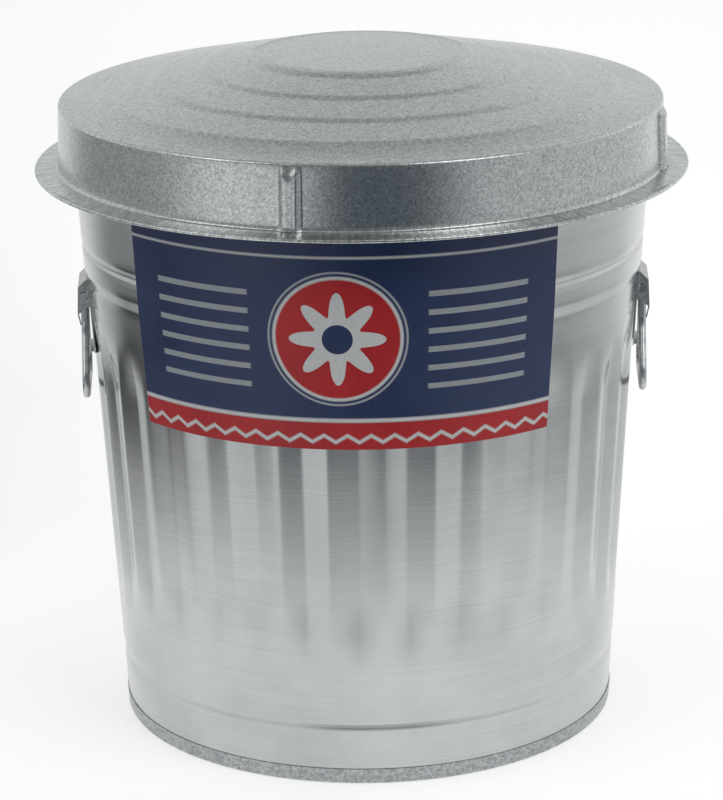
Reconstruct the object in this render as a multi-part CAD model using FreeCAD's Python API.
import FreeCAD, Part
import math
import os

V = FreeCAD.Vector

# Galvanised steel can with a lift-off lid and two hanging bails. Millimetres, +Z up.
# The origin is on the can's axis at floor level, and the front of the can faces -Y.
# Azimuths are degrees from the front, positive towards +X.

# Sheets and fits
WALL_SHEET = 0.5
PAN_SHEET = 0.5
LID_SHEET = 0.5
EAR_SHEET = 0.8
LABEL_SHEET = 0.3
LAP_GAP = 0.1          # between layers that lie on one another
RUN_GAP = 0.1          # round a wire or rivet in its eye
SEAT_GAP = 0.3         # between pieces that rest on one another and part again
FORM_ROUND = 1.5       # bend radius of pressed forms in the wall

# Body wall: a cone with a groove near the foot, and a step and a groove near the rim
FOOT_RADIUS = 164.0    # outside of the wall at floor level
WALL_TAPER = 0.058     # radius gained per millimetre of height
RIM_HEIGHT = 414.6     # top of the rolled rim
RIM_WIRE = 2.7         # diameter of the wire in the rolled rim
CURL_GAP = 0.95        # between that wire and the sheet rolled round it
STEP_DROP = 110.6      # from the rim down to the middle of the step
STEP_LENGTH = 6.5
STEP_OUT = 2.0
NECK_DROP = 91.6       # from the rim down to the bottom of the neck groove
NECK_FALL = 4.5        # height of its upper flank
NECK_RETURN = 2.2      # height of its lower flank
NECK_IN = 1.4
HEEL_HEIGHT = 41.5     # from the floor to the bottom of the heel groove
HEEL_FALL = 5.2
HEEL_RETURN = 5.0
HEEL_IN = 1.3

# Flutes pressed into the wall, and the lock seam that takes the place of one of them
FLUTE_COUNT = 33       # pitches round the wall, the seam's included
FLUTE_PHASE = -2.1     # azimuth of the valley nearest the front
FLUTE_DEPTH = 3.0      # at the foot radius, growing with the wall's radius
FLUTE_HEAD = 24.0      # plain wall between the step and the flutes
FLUTE_FOOT = 29.0      # plain wall between the heel groove and the flutes
HEAD_RUNOUT = 38.0
FOOT_RUNOUT = 28.0
CREST_LAND = 1.0
FLANK_REACH = 1.02     # share by which the flanks run past the crests
TIP_REACH = 0.15       # share of the flanks left at the ends
SEAM_WIDTH = 9.0
SEAM_PROUD = 1.0

# Bottom pan, with its edge folded round the foot of the wall
PAN_RISE = 10.0
HEM_HEIGHT = 9.7
FOLD_ROUND = 0.4

# Lid: a ringed dome, a skirt with ribs, and a brim with a rolled edge
LID_CLEARANCE = 1.2    # between the rolled rim and the skirt
SKIRT_DEPTH = 41.4
SKIRT_DRAFT = 1.4      # radius gained down the skirt
SHOULDER_ROUND = 2.0
RING_COUNT = 4
RING_FIRST = 72.0      # radius of the innermost ring
RING_PITCH = 32.0
RING_DROP = 2.2
RING_WIDTH = 3.0
RING_ROUND = 3.5
TERRACE_SLOPE = 0.17
CROWN_RISE = 2.0
BRIM_WIDTH = 14.2      # to the middle of the rolled edge
BRIM_FALL = 1.8
BRIM_ROLL = 1.1        # radius of the rolled edge
RIB_COUNT = 4
RIB_PHASE = -12.65     # azimuth of the rib nearest the front
RIB_WIDTH = 13.0
RIB_OUT = 3.0
RIB_BEVEL = 4.0        # height of the sloped top of a rib

# Paper label round the front
LABEL_HEIGHT = 137.0
LABEL_DROP = 5.0       # from the brim down to the label's hidden top edge
LABEL_START = -50.2    # azimuths of its two ends
LABEL_END = 40.0

# Ears: a plate riveted to the wall under the step, with a hood over the bail's ends
EAR_AZIMUTH = 87.3     # of the right ear; the left one mirrors it
EAR_WIDTH = 37.0
EAR_LENGTH = 52.0
EAR_DROP = 1.0         # from the step down to the ear's top edge
EAR_ROUND = 6.0
HOOD_SLOPE = 5.5       # height of the hood's sloped top
HOOD_BAND = 2.5        # height of the hood's face over the opening
HOOD_FLARE = 0.8
HOOD_GAP = 0.35        # between the hood and the wire inside it
SWING_GAP = 0.6        # between the raised bail and the top of the opening
CHEEK_DROP = 12.5      # from the pivot down to the cheeks' outer corners
CHEEK_RAKE = 4.5
LIP_DROP = 7.5
LIP_CURL = 1.6
TOE_OUT = 2.0
TOE_HEIGHT = 3.7
TOE_WIDTH = 18.0

# Rivets that hold each ear
RIVET_SHANK = 4.0      # diameter
RIVET_HEAD = 6.4       # diameter
RIVET_RISE = 1.6
RIVET_SPREAD = 10.0
RIVET_DROP = 16.0      # from the ear's top edge

# Bails: wire handles that hang from the ears
BAIL_WIRE = 4.8        # diameter
BAIL_GRIP = 84.0       # width at the grip, between wire centres
BAIL_DROP = 66.0       # from the pivot to the middle of the grip
BAIL_NECK = 26.0       # straight drop from the pivot before the legs spread
BAIL_KNEE = 4.5        # bend radius at the pivot
BAIL_SPREAD = 15.0     # bend radius where the legs spread
BAIL_CORNER = 10.0     # bend radius at the grip
KNEE_GAP = 1.2
STUB_OUT = 1.5         # wire end standing out of the cheek

# Heights and radii that follow
flute_pitch = 360.0 / FLUTE_COUNT
curl_inside = RIM_WIRE / 2 + CURL_GAP
curl_outside = curl_inside + WALL_SHEET
rim_middle = RIM_HEIGHT - curl_outside
step_middle = RIM_HEIGHT - STEP_DROP
step_low = step_middle - STEP_LENGTH / 2
step_high = step_middle + STEP_LENGTH / 2
neck_middle = RIM_HEIGHT - NECK_DROP
heel_top = HEEL_HEIGHT + HEEL_FALL
flute_low = heel_top + FLUTE_FOOT
flute_high = step_low - FLUTE_HEAD
wall_foot = PAN_SHEET + LAP_GAP
taper_angle = math.degrees(math.atan(WALL_TAPER))


def wall_radius(height):
    """Outside radius of the plain cone."""
    return FOOT_RADIUS + WALL_TAPER * height


wire_radius = wall_radius(rim_middle) + STEP_OUT + curl_inside
shoulder_radius = wire_radius + curl_outside + LID_CLEARANCE + LID_SHEET
shoulder_height = RIM_HEIGHT + SEAT_GAP + LID_SHEET - (shoulder_radius - wire_radius) * TERRACE_SLOPE
skirt_radius = shoulder_radius + SKIRT_DRAFT
skirt_height = shoulder_height - SKIRT_DEPTH
ear_top = step_low - EAR_DROP
ear_bottom = ear_top - EAR_LENGTH
hood_corner = ear_top - HOOD_SLOPE
opening_top = hood_corner - HOOD_BAND
pivot_height = opening_top - SWING_GAP - BAIL_WIRE / 2
ear_face = LAP_GAP + EAR_SHEET
pivot_reach = wall_radius(pivot_height) + ear_face + SEAT_GAP + BAIL_WIRE / 2
opening_half = EAR_WIDTH / 2 - EAR_SHEET - KNEE_GAP
neck_half = opening_half - BAIL_KNEE


# Shapes that several pieces use

def rounded_edges(points, radii):
    """Straight edges through the points, with a tangent arc at each inner point that has a radius."""
    edges = []
    start = points[0]
    for before, corner, after, radius in zip(points, points[1:], points[2:], radii):
        into = (corner - before).normalize()
        out = (after - corner).normalize()
        turn = into.getAngle(out)
        reach = radius * math.tan(turn / 2)
        if reach == 0:
            edges.append(Part.LineSegment(start, corner).toShape())
            start = corner
            continue
        first = corner - into * reach
        last = corner + out * reach
        inward = (out - into).normalize()
        middle = corner + inward * (radius / math.cos(turn / 2) - radius)
        edges.append(Part.LineSegment(start, first).toShape())
        edges.append(Part.Arc(first, middle, last).toShape())
        start = last
    edges.append(Part.LineSegment(start, points[-1]).toShape())
    return edges


def cap_fall(radius, rise):
    """Fall of a spherical cap from its top to half of its edge radius."""
    sphere = (radius ** 2 + rise ** 2) / (2 * rise)
    return sphere - math.sqrt(sphere ** 2 - radius ** 2 / 4)


def turned(edges, sweep=360.0):
    """Solid of revolution about Z from a closed section in the XZ plane."""
    section = Part.Face(Part.Wire(Part.__sortEdges__(edges)))
    return section.revolve(V(0, 0, 0), V(0, 0, 1), sweep)


def section_edges(points):
    """Closed outline of straight edges through (radius, height) points."""
    return Part.makePolygon([V(x, 0, z) for x, z in points + points[:1]]).Edges


def side_prism(points, width):
    """Prism of an outline in the XZ plane, centred across Y."""
    outline = Part.makePolygon([V(x, -width / 2, z) for x, z in points + points[:1]])
    return Part.Face(outline).extrude(V(0, width, 0))


def at_azimuth(shape, azimuth):
    """The shape, built along +X, turned to its azimuth."""
    return shape.rotated(V(0, 0, 0), V(0, 0, 1), azimuth - 90.0)


def wall_profile(inset):
    """Edges of the wall's pressed outline from foot to rim, set in from the outside."""
    forms = [
        (wall_foot, 0.0),
        (HEEL_HEIGHT - HEEL_RETURN, 0.0),
        (HEEL_HEIGHT, -HEEL_IN),
        (heel_top, 0.0),
        (step_low, 0.0),
        (step_high, STEP_OUT),
        (neck_middle - NECK_RETURN, STEP_OUT),
        (neck_middle, STEP_OUT - NECK_IN),
        (neck_middle + NECK_FALL, STEP_OUT),
        (rim_middle, STEP_OUT),
    ]
    points = [V(wall_radius(height) + swell - inset, 0, height) for height, swell in forms]
    return rounded_edges(points, [FORM_ROUND] * (len(points) - 2))


def wall_core(inset):
    """Solid inside the wall's pressed outline, before the flutes."""
    low = V(wall_radius(wall_foot) - inset, 0, wall_foot)
    high = V(wall_radius(rim_middle) + STEP_OUT - inset, 0, rim_middle)
    closing = Part.makePolygon([high, V(0, 0, high.z), V(0, 0, low.z), low]).Edges
    return turned(wall_profile(inset) + closing)


def flute_cutter(inset):
    """V-shaped cutter along +X that runs out to nothing at both ends."""
    half_angle = math.radians(flute_pitch / 2) - CREST_LAND / 2 / FOOT_RADIUS
    depth_share = FLUTE_DEPTH / FOOT_RADIUS
    flank_out = math.cos(half_angle) - 1 + depth_share
    flank_side = math.sin(half_angle)
    stations = [
        (flute_low, 0.0, TIP_REACH),
        (flute_low + FOOT_RUNOUT, depth_share, FLANK_REACH),
        (flute_high - HEAD_RUNOUT, depth_share, FLANK_REACH),
        (flute_high, 0.0, TIP_REACH),
    ]
    sections = []
    for height, depth, reach in stations:
        radius = wall_radius(height)
        keel = radius * (1 - depth) - inset
        brink = keel + radius * reach * flank_out
        side = radius * reach * flank_side
        clear = radius + FLUTE_DEPTH
        outline = [(keel, 0), (brink, side), (clear, side), (clear, -side), (brink, -side), (keel, 0)]
        sections.append(Part.makePolygon([V(x, y, height) for x, y in outline]))
    return Part.makeLoft(sections, True, True)


def flute_azimuths():
    """Every pitch but the one nearest the back, which stays plain for the seam."""
    return [FLUTE_PHASE + flute_pitch * index for index in range(FLUTE_COUNT) if index != seam_index]


seam_index = round((180.0 - FLUTE_PHASE) / flute_pitch)
seam_azimuth = FLUTE_PHASE + flute_pitch * seam_index


# Wall, rim wire and bottom

def rim_curl(radius):
    """Three quarters of a turn round the rim wire, from the wall over the top and under."""
    points = []
    for angle in (180.0, 45.0, -90.0):
        along = math.radians(angle)
        points.append(V(wire_radius + radius * math.cos(along), 0, rim_middle + radius * math.sin(along)))
    return Part.Arc(*points).toShape()


def lock_seam():
    """Folded seam that stands proud of the wall from the hem to the rolled rim."""
    low = HEM_HEIGHT + LAP_GAP
    high = rim_middle - curl_outside
    sweep = math.degrees(SEAM_WIDTH / FOOT_RADIUS)
    proud = wall_core(-SEAM_PROUD).cut(wall_core(WALL_SHEET / 2))
    reach = wire_radius + STEP_OUT
    slot = turned(section_edges([(0, low), (reach, low), (reach, high), (0, high)]), sweep)
    strip = proud.common(slot.rotated(V(0, 0, 0), V(0, 0, 1), -sweep / 2))
    return at_azimuth(strip, seam_azimuth)


def rivet_places():
    """Azimuth of each rivet from the middle of its ear."""
    spread = math.degrees(RIVET_SPREAD / 2 / wall_radius(ear_top - RIVET_DROP))
    return (-spread, spread)


def on_wall_normal(shape, azimuth):
    """A rivet-sized shape built along +X, set square to the wall at the rivets' height."""
    height = ear_top - RIVET_DROP
    square = shape.rotated(V(0, 0, 0), V(0, 1, 0), taper_angle)
    return square.translated(V(wall_radius(height), 0, height)).rotated(V(0, 0, 0), V(0, 0, 1), azimuth)


def rivet_holes():
    """Clearance for one ear's rivets through its plate and the wall."""
    depth = RIVET_HEAD
    hole = Part.makeCylinder((RIVET_SHANK + RUN_GAP) / 2, 2 * depth, V(-depth, 0, 0), V(1, 0, 0))
    return [on_wall_normal(hole, place) for place in rivet_places()]


def body_wall():
    insets = (0.0, WALL_SHEET)
    foot = Part.makePolygon([V(wall_radius(wall_foot) - inset, 0, wall_foot) for inset in insets])
    edge = Part.makePolygon([V(wire_radius, 0, rim_middle - curl_inside - inset) for inset in insets])
    curls = [rim_curl(curl_inside), rim_curl(curl_outside)]
    shell = turned(wall_profile(0.0) + wall_profile(WALL_SHEET) + foot.Edges + edge.Edges + curls)
    holes = [at_azimuth(hole, side * EAR_AZIMUTH) for side in (-1, 1) for hole in rivet_holes()]
    shell = shell.fuse(lock_seam()).removeSplitter().cut(holes)
    trough = flute_cutter(WALL_SHEET).common(wall_core(WALL_SHEET / 2))
    groove = flute_cutter(0.0)
    shell = shell.fuse([at_azimuth(trough, azimuth) for azimuth in flute_azimuths()])
    return shell.cut([at_azimuth(groove, azimuth) for azimuth in flute_azimuths()])


def rim_wire():
    return Part.makeTorus(wire_radius, RIM_WIRE / 2, V(0, 0, rim_middle))


def bottom_pan():
    """Raised disc whose edge turns down, under the wall's foot and up outside it."""
    hem_out = LAP_GAP + PAN_SHEET
    upright = WALL_SHEET + LAP_GAP
    deck = PAN_RISE + PAN_SHEET
    outline = [
        (0.0, PAN_RISE),
        (wall_radius(PAN_RISE) - upright - PAN_SHEET, PAN_RISE),
        (wall_radius(0) - upright - PAN_SHEET, 0.0),
        (wall_radius(0) + hem_out, 0.0),
        (wall_radius(HEM_HEIGHT) + hem_out, HEM_HEIGHT),
        (wall_radius(HEM_HEIGHT) + LAP_GAP, HEM_HEIGHT),
        (wall_radius(PAN_SHEET) + LAP_GAP, PAN_SHEET),
        (wall_radius(PAN_SHEET) - upright, PAN_SHEET),
        (wall_radius(deck) - upright, deck),
        (0.0, deck),
    ]
    points = [V(x, 0, z) for x, z in outline]
    rounds = [0, FOLD_ROUND, FOLD_ROUND, 0, 0, 0, 0, FOLD_ROUND]
    axis = Part.LineSegment(points[-1], points[0]).toShape()
    return turned(rounded_edges(points, rounds) + [axis])


# Lid

def dome_edges(inset):
    """The lid's outline from the skirt's foot up over the rings to the axis."""
    points = [
        V(skirt_radius - inset, 0, skirt_height),
        V(shoulder_radius - inset, 0, shoulder_height - inset),
    ]
    radii = [SHOULDER_ROUND - inset]
    radius = shoulder_radius
    height = shoulder_height - inset
    for ring in reversed(range(RING_COUNT)):
        middle = RING_FIRST + RING_PITCH * ring
        outer = middle + RING_WIDTH / 2
        height += (radius - outer) * TERRACE_SLOPE
        points.append(V(outer, 0, height))
        radius = middle - RING_WIDTH / 2
        height += RING_DROP
        points.append(V(radius, 0, height))
        radii += [RING_ROUND, RING_ROUND]
    crown_start = V(radius, 0, height)
    crown_top = V(0, 0, height + CROWN_RISE)
    crown_middle = V(radius / 2, 0, crown_top.z - cap_fall(radius, CROWN_RISE))
    crown = Part.Arc(crown_start, crown_middle, crown_top).toShape()
    return rounded_edges(points, radii[:-1]) + [crown]


def lid_core(inset, foot):
    """Solid under the lid's outline, carried down to the given foot."""
    edges = dome_edges(inset)
    low = V(skirt_radius - inset, 0, skirt_height)
    top = edges[-1].valueAt(edges[-1].LastParameter)
    floor = [low, V(low.x, 0, foot), V(0, 0, foot), V(0, 0, top.z)]
    floor = [a for a, b in zip(floor, floor[1:]) if (a - b).Length > 0] + floor[-1:]
    return turned(edges + Part.makePolygon(floor).Edges)


def rib_prism(inset, foot):
    """One rib on the skirt, along +X, with a sloped top under the shoulder."""
    back = shoulder_radius - SHOULDER_ROUND - RIB_OUT
    shoulder = shoulder_height - SHOULDER_ROUND
    outline = [
        (back, foot),
        (skirt_radius + RIB_OUT - inset, foot),
        (shoulder_radius + RIB_OUT - inset, shoulder - RIB_BEVEL),
        (shoulder_radius - inset, shoulder),
        (back, shoulder),
    ]
    return side_prism(outline, RIB_WIDTH - 2 * inset)


def brim():
    """Annulus round the skirt's foot, flat beside the ribs and falling a little to its rolled edge."""
    reach = skirt_radius + BRIM_WIDTH
    edge = skirt_height - BRIM_FALL
    root = skirt_radius - LID_SHEET
    flat = skirt_radius + RIB_OUT
    outline = [
        (root, skirt_height),
        (flat, skirt_height),
        (reach, edge),
        (reach, edge - LID_SHEET),
        (flat, skirt_height - LID_SHEET),
        (root, skirt_height - LID_SHEET),
    ]
    roll = Part.makeTorus(reach, BRIM_ROLL, V(0, 0, edge - LID_SHEET / 2))
    return turned(section_edges(outline)).fuse(roll)


def lid():
    below = skirt_height - BRIM_FALL - LID_SHEET - BRIM_ROLL
    azimuths = [RIB_PHASE + 360.0 / RIB_COUNT * index for index in range(RIB_COUNT)]
    outer_ribs = [at_azimuth(rib_prism(0.0, skirt_height - LID_SHEET / 2), azimuth) for azimuth in azimuths]
    inner_ribs = [at_azimuth(rib_prism(LID_SHEET, below), azimuth) for azimuth in azimuths]
    outside = lid_core(0.0, skirt_height).fuse(outer_ribs + [brim()])
    return outside.cut([lid_core(LID_SHEET, below)] + inner_ribs).removeSplitter()


# Label

def label():
    """Paper sheet that lies on the wall over the step and bears on the flute crests at its foot."""
    head = skirt_height - BRIM_FALL - LABEL_DROP
    foot = head - LABEL_HEIGHT
    heights = [(foot, LAP_GAP), (step_high, STEP_OUT + LAP_GAP), (head, STEP_OUT + LAP_GAP)]
    inner = [(wall_radius(height) + out, height) for height, out in heights]
    outer = [(radius + LABEL_SHEET, height) for radius, height in reversed(inner)]
    return at_azimuth(turned(section_edges(inner + outer), LABEL_END - LABEL_START), LABEL_START)


# Ears, rivets and bails, built along +X and then turned to their azimuths

def ear_plate():
    """Plate bent to the wall, with a rounded lower end and a toe turned out at its foot."""
    inner = wall_radius(0) + LAP_GAP
    low = (ear_bottom, inner + WALL_TAPER * ear_bottom)
    high = (ear_top, inner + WALL_TAPER * ear_top)
    band = section_edges([
        (low[1], low[0]),
        (low[1] + EAR_SHEET, low[0]),
        (high[1] + EAR_SHEET, high[0]),
        (high[1], high[0]),
    ])
    sweep = math.degrees(2 * EAR_WIDTH / inner)
    skin = turned(band, sweep).rotated(V(0, 0, 0), V(0, 0, 1), -sweep / 2)
    half = EAR_WIDTH / 2
    corners = [
        V(0, 0, ear_top),
        V(0, half, ear_top),
        V(0, half, ear_bottom),
        V(0, -half, ear_bottom),
        V(0, -half, ear_top),
        V(0, 0, ear_top),
    ]
    outline = Part.Wire(rounded_edges(corners, [0, EAR_ROUND, EAR_ROUND, 0]))
    plate = skin.common(Part.Face(outline).extrude(V(2 * inner, 0, 0)))
    foot_face = low[1] + EAR_SHEET
    toe = side_prism([
        (foot_face - TOE_OUT, ear_bottom),
        (foot_face + TOE_OUT, ear_bottom),
        (foot_face + TOE_OUT, ear_bottom + TOE_HEIGHT),
        (foot_face - TOE_OUT, ear_bottom + TOE_HEIGHT),
    ], TOE_WIDTH)
    return plate.fuse(toe.cut(wall_cone(LAP_GAP)))


def wall_cone(gap):
    """Plain cone of the wall over the ear's height, with a gap round it."""
    margin = EAR_LENGTH
    low = ear_bottom - margin
    high = ear_top + margin
    outline = [(0, low), (wall_radius(low) + gap, low), (wall_radius(high) + gap, high), (0, high)]
    return turned(section_edges(outline))


def ear_hood():
    """Sloped top, two cheeks and the flanges beside the opening that the bail swings through."""
    back = wall_radius(ear_bottom) - EAR_WIDTH
    face = pivot_reach + BAIL_WIRE / 2 + HOOD_GAP + EAR_SHEET
    root = wall_radius(ear_top) + ear_face
    cheek_foot = pivot_height - CHEEK_DROP
    lip_foot = cheek_foot - LIP_DROP
    shell = side_prism([
        (back, ear_top),
        (root, ear_top),
        (face, hood_corner),
        (face + HOOD_FLARE, cheek_foot),
        (face + HOOD_FLARE - LIP_CURL, lip_foot),
        (face + HOOD_FLARE - LIP_CURL - EAR_SHEET, lip_foot),
        (face + HOOD_FLARE - EAR_SHEET, cheek_foot),
        (root, cheek_foot + CHEEK_RAKE),
        (back, cheek_foot + CHEEK_RAKE),
    ], EAR_WIDTH)
    cavity = side_prism([
        (back, ear_top - EAR_SHEET),
        (root - EAR_SHEET, ear_top - EAR_SHEET),
        (face - EAR_SHEET, hood_corner - EAR_SHEET / 2),
        (face + HOOD_FLARE - EAR_SHEET, cheek_foot),
        (face + HOOD_FLARE - LIP_CURL - EAR_SHEET, lip_foot),
        (back, lip_foot),
    ], EAR_WIDTH - 2 * EAR_SHEET)
    opening = side_prism([
        (back, opening_top),
        (face + EAR_WIDTH, opening_top),
        (face + EAR_WIDTH, lip_foot - EAR_WIDTH),
        (back, lip_foot - EAR_WIDTH),
    ], 2 * opening_half)
    return shell.cut([cavity, opening, wall_cone(LAP_GAP)])


def ear(side):
    eye = (BAIL_WIRE + RUN_GAP) / 2
    bore = Part.makeCylinder(eye, EAR_WIDTH * 2, V(pivot_reach, -EAR_WIDTH, pivot_height), V(0, 1, 0))
    plate_face = wall_radius(pivot_height) + ear_face
    entry = Part.makeBox(
        pivot_reach - plate_face, EAR_WIDTH * 2, 2 * eye, V(plate_face, -EAR_WIDTH, pivot_height - eye))
    hood = ear_hood().cut([bore, entry])
    whole = ear_plate().fuse(hood).removeSplitter().cut(rivet_holes())
    return at_azimuth(whole, side * EAR_AZIMUTH)


def ear_rivets(side):
    """Two rivets through the ear's plate and the wall, headed on both sides."""
    outer_seat = ear_face + LAP_GAP / 2
    inner_seat = -WALL_SHEET - LAP_GAP / 2
    shank = RIVET_SHANK / 2
    head = RIVET_HEAD / 2
    crown = V(outer_seat + RIVET_RISE, 0, 0)
    tail = V(inner_seat - RIVET_RISE, 0, 0)
    bulge = RIVET_RISE - cap_fall(head, RIVET_RISE)
    edges = [
        Part.Arc(V(outer_seat, 0, head), V(outer_seat + bulge, 0, head / 2), crown).toShape(),
        Part.Arc(V(inner_seat, 0, head), V(inner_seat - bulge, 0, head / 2), tail).toShape(),
    ]
    edges += Part.makePolygon([
        V(outer_seat, 0, head),
        V(outer_seat, 0, shank),
        V(inner_seat, 0, shank),
        V(inner_seat, 0, head),
    ]).Edges
    edges.append(Part.LineSegment(crown, tail).toShape())
    section = Part.Face(Part.Wire(Part.__sortEdges__(edges)))
    rivet = section.revolve(V(0, 0, 0), V(1, 0, 0), 360.0)
    pair = [at_azimuth(on_wall_normal(rivet, place), side * EAR_AZIMUTH) for place in rivet_places()]
    return Part.makeCompound(pair)


def bail(side):
    """Wire with its ends turned out through the cheeks, legs that spread, and a straight grip."""
    grip = BAIL_GRIP / 2
    outline = [
        (EAR_WIDTH / 2 + STUB_OUT, 0.0),
        (neck_half, 0.0),
        (neck_half, -BAIL_NECK),
        (grip, -BAIL_DROP),
    ]
    outline += [(-y, z) for y, z in reversed(outline)]
    points = [V(pivot_reach, y, pivot_height + z) for y, z in outline]
    bends = [BAIL_KNEE, BAIL_SPREAD, BAIL_CORNER]
    path = Part.Wire(rounded_edges(points, bends + bends[::-1]))
    section = Part.Wire(Part.makeCircle(BAIL_WIRE / 2, points[0], V(0, 1, 0)))
    return at_azimuth(path.makePipeShell([section], True, False), side * EAR_AZIMUTH)


# One file per piece

pieces = {
    "body_wall": body_wall(),
    "rim_wire": rim_wire(),
    "bottom_pan": bottom_pan(),
    "lid": lid(),
    "label": label(),
}
for name, side in (("left", -1), ("right", 1)):
    pieces[name + "_ear"] = ear(side)
    pieces[name + "_ear_rivets"] = ear_rivets(side)
    pieces[name + "_bail"] = bail(side)

os.makedirs("parts", exist_ok=True)
for name, shape in pieces.items():
    shape.exportStep("parts/" + name + ".step")
